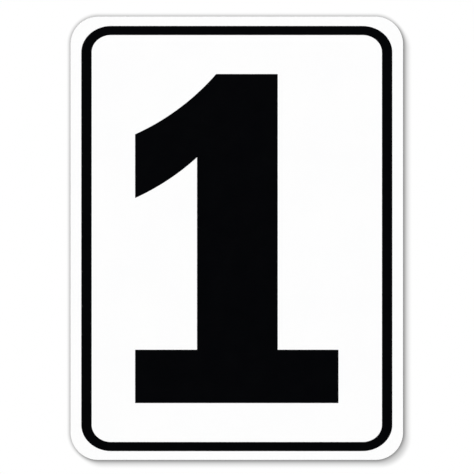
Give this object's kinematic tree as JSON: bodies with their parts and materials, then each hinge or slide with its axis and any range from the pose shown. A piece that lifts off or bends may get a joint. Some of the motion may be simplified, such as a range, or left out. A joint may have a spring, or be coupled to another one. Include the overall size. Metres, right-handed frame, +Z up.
{
  "type": "parking space number sign",
  "caption": "Flat upright sheet-aluminium sign with rounded corners, a white face, an inset black border band and a bold black slab numeral.",
  "frame": {"origin": "centre of the blank's flat back face, which is what is fixed to a wall, post or frame", "axes": "+Z up as the sign is read, -Y out of the printed face towards the reader, +Y out of the back, +X to the reader's right"},
  "size_m": [0.4572, 0.0019, 0.6096],
  "materials": {
    "bare_aluminium": "mill finish with rolling lines",
    "white_film": "smooth satin-gloss self-adhesive film",
    "black_film": "satin self-adhesive film"
  },
  "bodies": {
    "root": {"sign_blank": "bare_aluminium", "white_sheeting": "white_film", "black_border": "black_film", "black_numeral": "black_film"}
  },
  "joints": []
}
